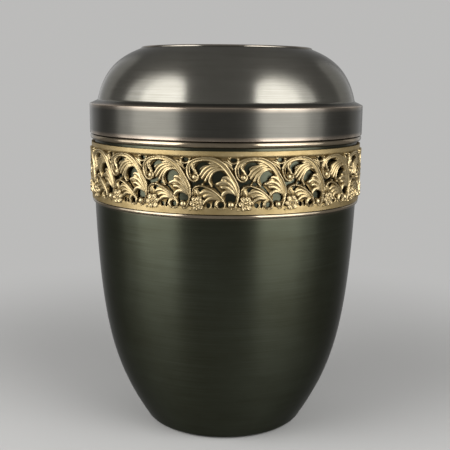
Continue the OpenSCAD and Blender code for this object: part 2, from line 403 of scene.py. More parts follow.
# %% First fan of lobes, which ends at the second eye
first_fan = [
    [(13.6, 30.4), (9.6, 30.9), (5.6, 30.0), (3.0, 28.8), (1.8, 27.5)],
    [(14.6, 29.4), (10.6, 29.8), (6.8, 28.9), (4.0, 27.0), (2.2, 24.6), (1.6, 23.7)],
    [(14.6, 28.6), (11.8, 28.8), (8.5, 27.8), (5.8, 25.9), (3.9, 23.6), (2.7, 22.0)],
    [(15.6, 27.3), (12.2, 27.7), (9.4, 26.6), (7.3, 24.5), (5.8, 22.3), (4.8, 20.4)],
]
for path in first_fan:
    ridge(path, 2.5, 2.9, (0.35, 0.8), profile=LOBE_ROUND)
ridge([
    (17.3, 25.6), (15.2, 26.9), (12.2, 26.8), (9.8, 25.6), (8.3, 23.6), (7.3, 21.2), (7.2, 19.4),
    (8.2, 17.9),
], 1.5, 3.0, (0.3, 0.8))

# %% Second fan of lobes, which ends at the third eye
second_fan = [
    [(23.6, 12.2), (22.6, 16.0), (20.6, 19.6), (18.3, 21.9), (16.3, 22.6), (15.0, 22.3)],
    [(23.2, 12.0), (21.9, 15.0), (19.9, 17.7), (17.4, 19.3), (14.6, 19.6), (12.2, 18.6)],
    [(22.8, 11.8), (21.2, 13.6), (19.3, 15.4), (16.9, 16.7), (14.9, 16.6)],
    [(22.6, 11.3), (20.4, 13.4), (18.2, 14.0), (16.2, 13.2), (15.1, 11.8)],
]
for path in second_fan:
    ridge(path, 2.9, 3.0, (0.35, 0.9), profile=LOBE_ROUND)
ridge([(17.6, 20.8), (15.6, 21.0), (14.3, 20.9)], 1.5, 2.7)
ridge([(18.6, 17.8), (16.0, 18.2), (13.8, 18.0), (12.2, 17.6)], 1.0, 2.6)
dome_at((20.3, 5.9), 2.05, 3.2)

# %% Side lobe beyond the leaf's back, and the cup between two crowns
ridge([(14.8, 32.6), (17.4, 31.6), (19.9, 29.9), (22.2, 27.8)], 1.5, 2.8, (0.4, 0.8))
ridge([(15.6, 31.6), (18.0, 30.1), (19.8, 28.6), (21.2, 27.2)], 1.4, 2.6, (0.4, 0.8))
cup = [(-10.9, 32.6), (-10.1, 31.4), (-7.8, 30.7), (-5.7, 31.4), (-4.9, 32.5)]
ridge(cup, 1.2, 2.7, (0.9, 0.9))
for centre in [(-10.1, 33.8), (-5.0, 33.4)]:
    dome_at(centre, 0.75, 2.9)

# %% Half leaf below, with its own rim and lobes
half_edge = [
    (-3.3, 11.4), (-3.0, 13.9), (-2.5, 15.2), (-1.3, 16.5), (0.5, 17.2), (2.6, 17.3), (4.8, 16.7),
    (6.9, 15.9), (9.5, 14.4), (12.0, 12.5), (14.2, 10.5), (15.9, 8.3), (16.7, 5.9), (16.3, 4.0),
]
ridge(half_edge, 1.3, 3.15, (0.6, 0.8))
half_fan = [
    [(14.4, 9.0), (12.0, 11.0), (9.0, 12.9), (6.4, 14.0), (4.0, 13.8), (2.2, 12.9)],
    [(14.2, 8.6), (11.6, 10.2), (8.8, 11.5), (6.2, 11.7), (4.2, 10.8)],
    [(13.6, 8.6), (11.2, 9.6), (8.6, 9.9), (6.4, 9.2), (5.2, 8.2)],
]
for path in half_fan:
    ridge(path, 2.6, 2.7, (0.4, 0.9), profile=LOBE_ROUND)
ridge([(-2.2, 15.0), (-1.3, 14.4), (-0.6, 13.0), (0.4, 11.4)], 1.3, 2.7)
ring_at((14.2, 5.9), 2.5, 1.0, 2.9, 40, 300)
ridge([(11.2, 3.8), (10.9, 5.8), (11.7, 8.0), (13.6, 9.4)], 1.3, 2.6)
ridge([(7.7, 3.4), (8.4, 5.2), (8.2, 6.6)], 1.0, 2.3)
for centre, radius in [((3.0, 18.4), 0.7), ((8.6, 17.3), 0.8)]:
    dome_at(centre, radius, 3.0)

# %% Flower
FLOWER = (0.0, 7.0)
PETALS = 6
PETAL_OUT = 3.1
FIRST_PETAL = 128
for number in range(PETALS):
    middle = np.array(FLOWER) + PETAL_OUT * polar(FIRST_PETAL - number * 360 / PETALS)
    ring_at(middle, 1.25, 1.0, 3.3)
    dome_at(middle, 1.7, 3.0)
dome_at(FLOWER, 3.6, 2.6)
dome_at(FLOWER, 1.1, 3.5)
dome_at((-4.5, 3.0), 0.7, 3.1)

# %% Openings
hole([
    (-1.2, 28.6), (0.4, 30.6), (2.9, 31.6), (5.4, 31.3), (7.9, 30.2), (5.2, 29.7), (3.0, 28.9),
    (1.5, 27.4), (2.2, 26.0), (1.6, 24.7), (0.7, 23.9), (-0.3, 25.6), (-1.3, 27.0),
])
hole([
    (-4.0, 28.0), (-4.4, 26.6), (-4.3, 24.9), (-3.6, 23.8),
    (-3.0, 24.4), (-2.9, 25.6), (-3.5, 26.8),
])
hole([
    (8.6, 21.9), (9.0, 23.4), (10.3, 25.1), (12.2, 26.0), (14.3, 26.0), (16.1, 25.0), (17.3, 23.7),
    (15.4, 23.0), (14.4, 21.6), (13.6, 20.2), (11.4, 19.2), (10.4, 17.9), (12.4, 15.4),
    (14.3, 12.9), (14.3, 11.5), (12.4, 13.6), (10.2, 15.7), (8.9, 16.4), (9.6, 18.2), (8.9, 19.9),
])
hole([
    (18.0, 12.6), (17.0, 11.2), (16.9, 9.0), (17.6, 6.6), (18.4, 7.6), (20.2, 8.2), (22.3, 7.4),
    (23.2, 8.8), (23.3, 10.4), (22.2, 12.2), (20.2, 13.0),
])
hole([(17.6, 6.8), (17.9, 5.0), (18.6, 4.1), (18.5, 5.6), (18.7, 7.3)])
hole([
    (0.1, 15.1), (1.3, 16.1), (2.9, 16.3), (4.5, 15.8),
    (3.1, 15.0), (2.3, 14.0), (1.2, 13.6), (0.5, 14.4),
])
hole([(5.6, 6.7), (7.4, 6.7), (7.7, 5.4), (7.4, 4.1), (5.9, 4.0), (5.3, 5.2)])
hole([(9.0, 4.0), (8.9, 5.6), (9.2, 7.4), (10.4, 8.4), (10.2, 6.6), (10.2, 4.8), (9.8, 3.9)])
hole([(12.6, 5.8), (13.4, 7.2), (14.9, 7.3), (15.8, 6.0), (15.4, 4.6), (13.9, 4.1), (12.9, 4.7)])
hole([(3.9, 18.6), (4.6, 19.4), (6.2, 19.3), (7.6, 18.4), (7.3, 17.6), (5.6, 17.5), (4.3, 17.8)])
hole([
    (-4.9, 20.0), (-3.6, 19.2), (-1.4, 19.4), (0.6, 20.7), (2.4, 21.2), (3.9, 20.2), (2.9, 19.0),
    (2.4, 18.3), (0.4, 18.1), (-1.8, 17.2), (-3.3, 15.6), (-3.9, 13.8), (-4.1, 16.6), (-4.6, 18.4),
])
hole([
    (-9.7, 33.0), (-8.9, 33.9), (-6.9, 33.9), (-5.8, 33.0),
    (-6.2, 32.1), (-7.8, 31.6), (-9.3, 32.0),
])
hole([(-8.9, 29.8), (-7.9, 30.0), (-6.8, 29.7), (-7.3, 28.2), (-7.2, 26.4), (-8.1, 27.8)])
print(len(ridges), "ridges and", len(holes), "openings in one motif")

# %% Height of the relief
DRAWN_R = 93.6
PITCH = 2 * math.pi * DRAWN_R / MOTIFS
BAND_H = 37.9
TOP_RAIL_H = 2.5
LOW_RAIL_H = 3.7
RAIL_T = 2.0
RAIL_FADE = 1.8
TAPERS = 3
TINY = 1e-12


def stroke_height(u, v, stroke):
    """The height of one ridge over the points (u, v), or 0 where it doesn't reach.

    Each end grows to its full width over the path's first or last third.
    """
    path, half, height, ends, profile = stroke
    a, b = path[:-1], path[1:]
    low, high = path.min(0) - half, path.max(0) + half
    near = (u > low[0]) & (u < high[0]) & (v > low[1]) & (v < high[1])
    out = np.zeros(u.shape)
    if not near.any():
        return out
    p = np.stack([u[near], v[near]], axis=1)
    way = b - a
    size = np.maximum((way ** 2).sum(1), TINY)
    t = np.clip(((p[:, None, :] - a) * way).sum(2) / size, 0, 1)
    gap = np.linalg.norm(p[:, None, :] - a - t[:, :, None] * way, axis=2)
    best = gap.argmin(1)
    pick = np.arange(len(p))
    run = (best + t[pick, best]) / len(way)
    start = ends[0] + (1 - ends[0]) * run * TAPERS
    finish = ends[1] + (1 - ends[1]) * (1 - run) * TAPERS
    swell = np.minimum(1, np.minimum(start, finish))
    rel = gap[pick, best] / (half * swell)
    rise = (height - SHEET_T) * swell ** 0.5
    crest = SHEET_T + rise * np.clip(1 - rel ** 2, 0, 1) ** profile
    out[near] = np.where(rel < 1, crest, 0)
    return out


def relief_height(u, v):
    """The height of the relief above the band's inner face."""
    out = np.full(u.shape, SHEET_T)
    for shift in (-PITCH, 0, PITCH):
        for stroke in ridges:
            out = np.maximum(out, stroke_height(u + shift, v, stroke))
    above, below = np.maximum(v - LOW_RAIL_H, 0), np.maximum(BAND_H - TOP_RAIL_H - v, 0)
    fade = np.clip(1 - np.minimum(above, below) / RAIL_FADE, 0, 1)
    return np.maximum(out, SHEET_T + (RAIL_T - SHEET_T) * fade ** 2 * (3 - 2 * fade))


# %% Distance to the nearest opening
FAR_OUT = 9.0


def hole_depth(u, v):
    """How far the points lie outside the openings; it is negative inside one."""
    out = np.full(u.shape, FAR_OUT)
    p = np.stack([u, v], axis=-1)
    for shift in (-PITCH, 0, PITCH):
        for line in holes:
            a = line - (shift, 0)
            b = np.roll(a, -1, axis=0)
            way = b - a
            size = np.maximum((way ** 2).sum(1), TINY)
            t = np.clip(((p[..., None, :] - a) * way).sum(-1) / size, 0, 1)
            gap = np.linalg.norm(p[..., None, :] - a - t[..., None] * way, axis=-1).min(-1)
            up = (a[:, 1] <= v[..., None]) != (b[:, 1] <= v[..., None])
            climb = np.where(way[:, 1] == 0, 1, way[:, 1])
            cross = a[:, 0] + (v[..., None] - a[:, 1]) / climb * way[:, 0]
            inside = (up & (u[..., None] < cross)).sum(-1) % 2 == 1
            out = np.minimum(out, np.where(inside, -gap, gap))
    return out


# %% [markdown]
# ## From relief to mesh
# A displaced grid would leave ragged holes. Instead each grid point that lies within half a cell
# of an opening's edge is moved onto that edge, cells beyond it are dropped, and a wall joins the
# front to the back round every opening. Two attributes go with the points: how high the relief
# stands, and how hollow the place is, so that the patina can settle in the grooves.

# %% Grid, and the average that finds the hollows
CELLS_U = 98
CELLS_V = 126
NEAR_CELLS = 4
FAR_CELLS = 9
FAR_SHARE = 0.5
LEAST_SLOPE = 0.25


def blurred(field, reach):
    """The field averaged over a square, round the band and up to its edges."""
    wide = np.pad(field, ((reach, reach), (0, 0)), mode="edge")
    wide = np.pad(wide, ((0, 0), (reach, reach)), mode="wrap")
    sums = np.pad(wide.cumsum(0).cumsum(1), ((1, 0), (1, 0)))
    side = 2 * reach + 1
    high, low = sums[side:], sums[:-side]
    return (high[:, side:] - low[:, side:] - high[:, :-side] + low[:, :-side]) / side ** 2


# %% Mesh of one motif
def inside_hole(u, v):
    """Whether a point lies in an opening."""
    return hole_depth(np.array([u]), np.array([v]))[0] < 0


def motif_mesh(name):
    """One pierced motif between its two rails, open only where the next motif joins it."""
    du, dv = PITCH / CELLS_U, BAND_H / CELLS_V
    v, u = np.meshgrid(np.arange(CELLS_V + 1) * dv, np.arange(CELLS_U) * du, indexing="ij")
    depth = hole_depth(u, v)
    slope_u = (np.roll(depth, -1, 1) - np.roll(depth, 1, 1)) / (2 * du)
    slope_v = np.gradient(depth, dv, axis=0)
    steep = np.maximum(slope_u ** 2 + slope_v ** 2, LEAST_SLOPE)
    snapped = np.abs(depth) < du / 2
    u = np.where(snapped, u - depth * slope_u / steep, u)
    v = np.where(snapped, v - depth * slope_v / steep, v)
    height = relief_height(u, v)
    hollow = height - blurred(height, NEAR_CELLS)
    hollow += FAR_SHARE * (height - blurred(height, FAR_CELLS))
    kept = (depth > 0) | snapped
    columns = np.arange(CELLS_U + 1) % CELLS_U
    fields = (u, v, height, hollow, kept, snapped)
    u, v, height, hollow, kept, rim = (field[:, columns] for field in fields)
    u[:, -1] += PITCH

    turn = u / PITCH * 2 * math.pi / MOTIFS
    z = band_z + v * MM
    faces = []
    size = kept.size
    index = np.arange(size).reshape(kept.shape)
    for j in range(CELLS_V):
        for i in range(CELLS_U):
            corner = [(j, i), (j, i + 1), (j + 1, i + 1), (j + 1, i)]
            corner = [c for c in corner if kept[c]]
            if len(corner) < 3:
                continue
            middle_u = sum(u[c] for c in corner) / len(corner)
            middle_v = sum(v[c] for c in corner) / len(corner)
            if all(rim[c] for c in corner) and inside_hole(middle_u, middle_v):
                continue
            faces.append([index[c] for c in corner])
    edges = {}
    for face in faces:
        for a, b in zip(face, face[1:] + face[:1]):
            edges[(a, b)] = True
    seam = [set(index[:, 0]), set(index[:, -1])]
    walls = []
    for a, b in edges:
        if (b, a) not in edges and not any(a in s and b in s for s in seam):
            walls.append([b, a, a + size, b + size])
    back = [[p + size for p in reversed(face)] for face in faces]

    radius = np.concatenate([(band_in_r + height * MM).ravel(), np.full(size, band_in_r)])
    turn = np.tile(turn.ravel(), 2)
    verts = np.stack([radius * np.cos(turn), radius * np.sin(turn), np.tile(z.ravel(), 2)], axis=1)
    used = np.unique(np.concatenate(faces + back))
    renumber = np.full(2 * size, -1)
    renumber[used] = np.arange(len(used))
    mesh = bpy.data.meshes.new(name)
    every = faces + back + walls
    mesh.from_pydata(verts[used].tolist(), [], [[int(renumber[p]) for p in f] for f in every])
    for label, field in [("relief", height.ravel()), ("hollow", hollow.ravel())]:
        layer = mesh.attributes.new(label, "FLOAT", "POINT")
        value = np.concatenate([field, np.zeros(size)])[used]
        layer.data.foreach_set("value", value.astype(np.float32))
    mesh.polygons.foreach_set("use_smooth", [True] * len(mesh.polygons))
    triangles = sum(len(f) - 2 for f in every)
    print(name, len(used), "points,", triangles, "triangles")
    return mesh


BAND_FIT = 0.1 * MM
band_in_r = seat_r + BAND_FIT
motif = motif_mesh("leaf_motif")

# %% [markdown]
# ## The motif repeated round the urn
# Twenty motifs make the band. They are placed by Geometry Nodes: points at the origin carry
# copies of the motif, each turned by its own bearing, and the copies are joined where they meet.
# The band is made in five sections, so that no piece gets too heavy for other programs.

# %% Node tree that turns copies of the motif about the axis
FIRST_FLOWER = 7.7
SECTIONS = 5
JOIN_GAP = 0.002 * MM
CARVED_SHARP_EDGE = 60
per_section = MOTIFS // SECTIONS
motif_object = bpy.data.objects.new("leaf_motif", motif)


def repeat_tree():
    """Geometry Nodes: Count copies of Motif, turned by Turn from First turn on."""
    tree = bpy.data.node_groups.new("Motifs round the axis", "GeometryNodeTree")
    face = tree.interface
    face.new_socket("Geometry", in_out="OUTPUT", socket_type="NodeSocketGeometry")
    for label, kind in [
        ("Motif", "NodeSocketObject"),
        ("Count", "NodeSocketInt"),
        ("Turn", "NodeSocketFloat"),
        ("First turn", "NodeSocketFloat"),
        ("Metal", "NodeSocketMaterial"),
    ]:
        face.new_socket(label, in_out="INPUT", socket_type=kind)
    add = tree.nodes.new
    link = tree.links.new
    given, result = add("NodeGroupInput"), add("NodeGroupOutput")
    motif_info = add("GeometryNodeObjectInfo")
    points = add("GeometryNodePoints")
    number = add("GeometryNodeInputIndex")
    times = add("ShaderNodeMath")
    times.operation = "MULTIPLY_ADD"
    turned_by = add("ShaderNodeCombineXYZ")
    copies = add("GeometryNodeInstanceOnPoints")
    real = add("GeometryNodeRealizeInstances")
    joined = add("GeometryNodeMergeByDistance")
    joined.inputs["Distance"].default_value = JOIN_GAP
    metal = add("GeometryNodeSetMaterial")
    link(given.outputs["Motif"], motif_info.inputs["Object"])
    link(given.outputs["Count"], points.inputs["Count"])
    link(number.outputs["Index"], times.inputs[0])
    link(given.outputs["Turn"], times.inputs[1])
    link(given.outputs["First turn"], times.inputs[2])
    link(times.outputs["Value"], turned_by.inputs["Z"])
    link(points.outputs["Points"], copies.inputs["Points"])
    link(motif_info.outputs["Geometry"], copies.inputs["Instance"])
    link(turned_by.outputs["Vector"], copies.inputs["Rotation"])
    link(copies.outputs["Instances"], real.inputs["Geometry"])
    link(real.outputs["Geometry"], joined.inputs["Geometry"])
    link(joined.outputs["Geometry"], metal.inputs["Geometry"])
    link(given.outputs["Metal"], metal.inputs["Material"])
    link(metal.outputs["Geometry"], result.inputs["Geometry"])
    return tree


# %% Build the band's sections
def closed_ends(mesh):
    """Closes the open ends of a section and points all faces outwards."""
    shape = bmesh.new()
    shape.from_mesh(mesh)
    open_edges = [e for e in shape.edges if e.is_boundary]
    ends = bmesh.ops.holes_fill(shape, edges=open_edges, sides=0)["faces"]
    for face in ends:
        for edge in face.edges:
            edge.smooth = False
    bmesh.ops.triangulate(shape, faces=ends)
    bmesh.ops.recalc_face_normals(shape, faces=shape.faces)
    loose = sum(1 for e in shape.edges if len(e.link_faces) != 2)
    shape.to_mesh(mesh)
    shape.free()
    return loose


def band_section(number, tree, metal):
    """Four motifs of the band, as a plain mesh."""
    name = f"band_section_{number + 1}"
    carrier = bpy.data.objects.new(name, bpy.data.meshes.new(name))
    scene.collection.objects.link(carrier)
    maker = carrier.modifiers.new("Motifs", "NODES")
    maker.node_group = tree
    values = {
        "Motif": motif_object,
        "Count": per_section,
        "Turn": math.radians(360 / MOTIFS),
        "First turn": math.radians(FIRST_FLOWER + number * 360 / SECTIONS),
        "Metal": metal,
    }
    for item in tree.interface.items_tree:
        if item.in_out == "INPUT":
            maker[item.identifier] = values[item.name]
    ready = carrier.evaluated_get(bpy.context.evaluated_depsgraph_get())
    mesh = bpy.data.meshes.new_from_object(ready)
    carrier.modifiers.clear()
    carrier.data = mesh
    mesh.name = name
    loose = closed_ends(mesh)
    mesh.set_sharp_from_angle(angle=math.radians(CARVED_SHARP_EDGE))
    mesh.calc_loop_triangles()
    print(name, len(mesh.loop_triangles), "triangles,", loose, "open edges")
    return carrier


# %% [markdown]
# ## Finishes
# All three pieces are brass. The body and the lid have a dark chemical patina that is brushed
# round the axis, so their highlights stretch into bands, and the metal shows through where hands
# and cloths rub: on the beads, on the edges and on the rolled rim. The band is polished on its
# high places and dark in its hollows. Each finish is a Principled metal whose colour, roughness
# and bump come from noise, laid on rings for the spun pieces.

# %% Helpers for materials
SPECULAR_TINT = (0.55, 0.55, 0.55, 1)


def new_metal(name, anisotropic, rotation=0.0):
    """A node material with a fully metallic Principled shader."""
    material = bpy.data.materials.new(name)
    material.use_nodes = True
    nodes, links = material.node_tree.nodes, material.node_tree.links
    shader = nodes["Principled BSDF"]
    shader.inputs["Metallic"].default_value = 1.0
    shader.inputs["Anisotropic"].default_value = anisotropic
    shader.inputs["Anisotropic Rotation"].default_value = rotation
    shader.inputs["Specular Tint"].default_value = SPECULAR_TINT
    return material, nodes, links, shader


def math_node(nodes, links, operation, *values):
    """A Math node; each value is a socket or a number."""
    node = nodes.new("ShaderNodeMath")
    node.operation = operation
    for place, value in zip(node.inputs, values):
        if isinstance(value, (int, float)):
            place.default_value = value
        else:
            links.new(value, place)
    return node.outputs[0]


def ramp(nodes, links, value, stops):
    """A colour ramp; each stop is a place and a colour."""
    node = nodes.new("ShaderNodeValToRGB")
    links.new(value, node.inputs[0])
    band = node.color_ramp
    for number, (place, colour) in enumerate(stops):
        stop = band.elements[number] if number < 2 else band.elements.new(place)
        stop.position = place
        stop.color = (*colour, 1)
    return node.outputs[0]


def noise(nodes, links, vector, scale, detail=3.0, rough=0.55):
    """A Noise texture's value, on the vector."""
    node = nodes.new("ShaderNodeTexNoise")
    node.inputs["Scale"].default_value = scale
    node.inputs["Detail"].default_value = detail
    node.inputs["Roughness"].default_value = rough
    links.new(vector, node.inputs["Vector"])
    return node.outputs[0]


def mixed(nodes, links, share, a, b):
    """A colour between a and b."""
    node = nodes.new("ShaderNodeMix")
    node.data_type = "RGBA"
    for place, value in zip((node.inputs[0], node.inputs[6], node.inputs[7]), (share, a, b)):
        if isinstance(value, tuple):
            place.default_value = (*value, 1)
        elif isinstance(value, (int, float)):
            place.default_value = value
        else:
            links.new(value, place)
    return node.outputs[2]


# %% [markdown]
# ### Brushed rings
# A brush that is held to a turning pot leaves fine lines round it. A noise makes them when its
# space is squashed: slow round the axis, fast along the section. The direction round the axis
# comes from Object coordinates, and the distance along the section from the UV map.

# %% Patinated, brushed metal for the spun pieces
ROUND_THE_AXIS = 0.25
DARKEST, LIGHTEST = 0.36, 0.64
# How much of the patina's colour the lid's skirt keeps: a painted shade that darkens it below the
# dome.
PAINTED_SHADE_SHARE = 0.5
FINE_SHARE = 0.7
CLOUD_SHARE = 0.45
STREAK_ROUGHNESS = 0.1
DULL_ROUGHNESS = 0.08
RUBBED_POLISH = 0.12
LINE_STRENGTH = 0.35


def patina_colours(nodes, links, shade, dark, light, share=1.0):
    """The patina's colour, from dark to light; a share below 1 makes it darker."""
    stops = [
        (DARKEST, tuple(share * part for part in dark)),
        (LIGHTEST, tuple(share * part for part in light)),
    ]
    return ramp(nodes, links, shade, stops)


def spun_metal(name, dark, light, bronze, roughness, anisotropic, line_depth, rough_and_shaded_below=None):
    """Dark patina, brushed in rings, with bare bronze on the worn edges.

    Below the lower of two given heights the metal is rougher, and its colour is darker as painted
    shade.
    """
    material, nodes, links, shader = new_metal(name, anisotropic, ROUND_THE_AXIS)
    place = nodes.new("ShaderNodeTexCoord")
    split = nodes.new("ShaderNodeSeparateXYZ")
    links.new(place.outputs["Object"], split.inputs[0])
    flat = nodes.new("ShaderNodeCombineXYZ")
    links.new(split.outputs[0], flat.inputs[0])
    links.new(split.outputs[1], flat.inputs[1])
    way = nodes.new("ShaderNodeVectorMath")
    way.operation = "NORMALIZE"
    links.new(flat.outputs[0], way.inputs[0])
    round_it = nodes.new("ShaderNodeSeparateXYZ")
    links.new(way.outputs[0], round_it.inputs[0])
    rings = nodes.new("ShaderNodeUVMap")
    rings.uv_map = "Rings"
    ring = nodes.new("ShaderNodeSeparateXYZ")
    links.new(rings.outputs[0], ring.inputs[0])

    def brushed(across, along):
        """Space in which noise becomes ring lines."""
        space = nodes.new("ShaderNodeCombineXYZ")
        links.new(math_node(nodes, links, "MULTIPLY", round_it.outputs[0], across), space.inputs[0])
        links.new(math_node(nodes, links, "MULTIPLY", round_it.outputs[1], across), space.inputs[1])
        links.new(math_node(nodes, links, "MULTIPLY", ring.outputs[1], along), space.inputs[2])
        return space.outputs[0]

    fine = noise(nodes, links, brushed(across=2.0, along=2200.0), 1.0, detail=4.0, rough=0.6)
    broad = noise(nodes, links, brushed(across=1.2, along=260.0), 1.0, detail=3.0, rough=0.6)
    cloud = noise(nodes, links, place.outputs["Object"], 16.0, detail=5.0, rough=0.6)
    wide_lines = math_node(nodes, links, "MULTIPLY", broad, 1 - FINE_SHARE)
    streak = math_node(nodes, links, "MULTIPLY_ADD", fine, FINE_SHARE, wide_lines)
    lines = math_node(nodes, links, "MULTIPLY", streak, 1 - CLOUD_SHARE)
    shade = math_node(nodes, links, "MULTIPLY_ADD", cloud, CLOUD_SHARE, lines)
    patina = patina_colours(nodes, links, shade, dark, light)
    dull_and_shaded = 0.0
    # Painted shade: between the two heights the patina turns darker, and below the lower one it
    # stays darker and rougher.
    if rough_and_shaded_below:
        fade = nodes.new("ShaderNodeMapRange")
        fade.inputs["From Min"].default_value = rough_and_shaded_below[1]
        fade.inputs["From Max"].default_value = rough_and_shaded_below[0]
        links.new(split.outputs[2], fade.inputs["Value"])
        dull_and_shaded = fade.outputs[0]
        painted_shade_patina = patina_colours(nodes, links, shade, dark, light, PAINTED_SHADE_SHARE)
        patina = mixed(nodes, links, dull_and_shaded, patina, painted_shade_patina)
    worn = nodes.new("ShaderNodeAttribute")
    worn.attribute_name = "worn"
    rubs = noise(nodes, links, place.outputs["Object"], 60.0, detail=4.0)
    patchy = math_node(nodes, links, "MULTIPLY_ADD", rubs, 1.2, 0.3)
    rubbed = math_node(nodes, links, "MULTIPLY", worn.outputs["Fac"], patchy)
    rubbed = math_node(nodes, links, "MINIMUM", rubbed, 1.0)
    links.new(mixed(nodes, links, rubbed, patina, bronze), shader.inputs["Base Color"])
    least = roughness - STREAK_ROUGHNESS / 2
    rough = math_node(nodes, links, "MULTIPLY_ADD", streak, STREAK_ROUGHNESS, least)
    rough = math_node(nodes, links, "MULTIPLY_ADD", dull_and_shaded, DULL_ROUGHNESS, rough)
    rough = math_node(nodes, links, "MULTIPLY_ADD", rubbed, -RUBBED_POLISH, rough)
    links.new(rough, shader.inputs["Roughness"])
    tangent = nodes.new("ShaderNodeTangent")
    tangent.direction_type = "RADIAL"
    tangent.axis = "Z"
    links.new(tangent.outputs[0], shader.inputs["Tangent"])
    bump = nodes.new("ShaderNodeBump")
    bump.inputs["Strength"].default_value = LINE_STRENGTH
    bump.inputs["Distance"].default_value = line_depth
    links.new(fine, bump.inputs["Height"])
    links.new(bump.outputs[0], shader.inputs["Normal"])
    return material


# %% The patinas of the body and the lid
patinated_body = spun_metal(
    "patinated_body",
    dark=(0.025, 0.026, 0.0165),
    light=(0.04, 0.0442, 0.032),
    bronze=(0.22, 0.18, 0.13),
    roughness=0.31,
    anisotropic=0.75,
    line_depth=0.014 * MM,
)
patinated_lid = spun_metal(
    "patinated_lid",
    dark=(0.083, 0.079, 0.067),
    light=(0.128, 0.124, 0.11),
    bronze=(0.29, 0.238, 0.19),
    roughness=0.24,
    anisotropic=0.75,
    line_depth=0.015 * MM,
    # Below the ledge the skirt is rougher, and darker by painted shade.
    rough_and_shaded_below=(ledge_z, dome_z),
)

# %% [markdown]
# ### Aged brass
# The colour follows the two attributes of the relief: it goes from near black in the hollows over
# a dull olive brass to a clean pale gold on the crests. Fine noise breaks the edges between them.

# %% Brass for the band
BRASS_COLOURS = [
    (0.0, (0.022, 0.014, 0.006)),
    (0.2, (0.088, 0.06, 0.024)),
    (0.42, (0.175, 0.13, 0.06)),
    (0.8, (0.295, 0.234, 0.132)),
]
BRASS_ROUGHNESS = 0.56
CREST_POLISH = 0.2
GRAIN_DEPTH = 0.05 * MM
GRAIN_STRENGTH = 0.3


def aged_brass_metal():
    """Gold-coloured brass, dark in its hollows."""
    material, nodes, links, shader = new_metal("aged_brass", 0.0)
    place = nodes.new("ShaderNodeTexCoord")
    relief = nodes.new("ShaderNodeAttribute")
    relief.attribute_name = "relief"
    hollow = nodes.new("ShaderNodeAttribute")
    hollow.attribute_name = "hollow"
    grain = noise(nodes, links, place.outputs["Object"], 420.0, detail=5.0, rough=0.65)
    cloud = noise(nodes, links, place.outputs["Object"], 55.0, detail=4.0, rough=0.6)
    high = math_node(nodes, links, "MULTIPLY_ADD", relief.outputs["Fac"], 0.2, -0.1)
    shade = math_node(nodes, links, "MULTIPLY_ADD", hollow.outputs["Fac"], 0.24, high)
    specks = math_node(nodes, links, "MULTIPLY_ADD", grain, 0.22, 0.08)
    shade = math_node(nodes, links, "ADD", shade, specks)
    stains = math_node(nodes, links, "MULTIPLY_ADD", cloud, 0.42, -0.21)
    shade = math_node(nodes, links, "ADD", shade, stains)
    links.new(ramp(nodes, links, shade, BRASS_COLOURS), shader.inputs["Base Color"])
    rough = math_node(nodes, links, "MULTIPLY_ADD", shade, -CREST_POLISH, BRASS_ROUGHNESS)
    links.new(rough, shader.inputs["Roughness"])
    bump = nodes.new("ShaderNodeBump")
    bump.inputs["Strength"].default_value = GRAIN_STRENGTH
    bump.inputs["Distance"].default_value = GRAIN_DEPTH
    links.new(grain, bump.inputs["Height"])
    links.new(bump.outputs[0], shader.inputs["Normal"])
    return material


aged_brass = aged_brass_metal()
print("finishes", [metal.name for metal in (patinated_body, patinated_lid, aged_brass)])

# %% [markdown]
# ### Wear
# Patina goes first where hands and cloths rub, on whatever stands out: the two beads, the edges of
# the skirt and the rolled rim. The wear could be painted on by hand. Here it follows from how far
# each point of the section lies from those places, so it stays right when a size changes, and it
# goes into an attribute that the material reads.

# %% Worn places of the spun pieces
CLEARLY_WORN = 0.3


def mark_worn(piece, places):
    """Writes the attribute worn: 1 on each place of the section, and 0 far from all of them.

    A place is a radius, a height and how far the wear reaches round it.
    """
    at = np.zeros(len(piece.data.vertices) * 3)
    piece.data.vertices.foreach_get("co", at)
    at = at.reshape(-1, 3)
    r, z = np.hypot(at[:, 0], at[:, 1]), at[:, 2]
    worn = np.zeros(len(r))
    for radius, height, reach in places:
        worn = np.maximum(worn, np.exp(-((r - radius) ** 2 + (z - height) ** 2) / reach ** 2))
    layer = piece.data.attributes.new("worn", "FLOAT", "POINT")
    layer.data.foreach_set("value", worn.astype(np.float32))
    print(piece.name, "worn on", round(float((worn > CLEARLY_WORN).mean()), 3), "of its points")


mark_worn(urn_body, [
    (seat_r + LOW_BEAD_OUT, shoulder_z + LOW_BEAD_H / 2, 1.6 * MM),
    (seat_r + top_bead_out, top_bead_z + TOP_BEAD_H / 2, 1.9 * MM),
    (seat_r - LIP, neck_top_z, 0.8 * MM),
])
mark_worn(urn_lid, [
    (skirt_r, lid_z, 0.8 * MM),
    (skirt_r - 0.3 * LEDGE_ROUND, ledge_z - 0.3 * LEDGE_ROUND, 0.7 * MM),
    (PLATEAU_R, lid_top_z, 1.1 * MM),
])

# %% Put the finishes on and tie the pieces to the frame
repeat = repeat_tree()
sections = [band_section(number, repeat, aged_brass) for number in range(SECTIONS)]
for piece, metal, node, slot in [
    (urn_body, patinated_body, "urn_body", "patinated_body"),
    (urn_lid, patinated_lid, "lid", "patinated_lid"),
]:
    piece.data.materials.append(metal)
    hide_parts(node)
    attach(piece, "root")
for piece in sections:
    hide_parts("ornament_band")
    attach(piece, "root")

# %% [markdown]
# ## Studio
# Dark polished metal shows the room more than its own colour, so the room is part of its finish.
# A pale backdrop gives the dark even tone. On each side a wide softbox with a brighter core
# inside it gives the bright bands down the wall and the white patches on the lid, and two weak
# fills light the back. The floor is plain and pale and takes the shadow. The world is pale for
# the camera and for reflections, and a weak fill for the rest.

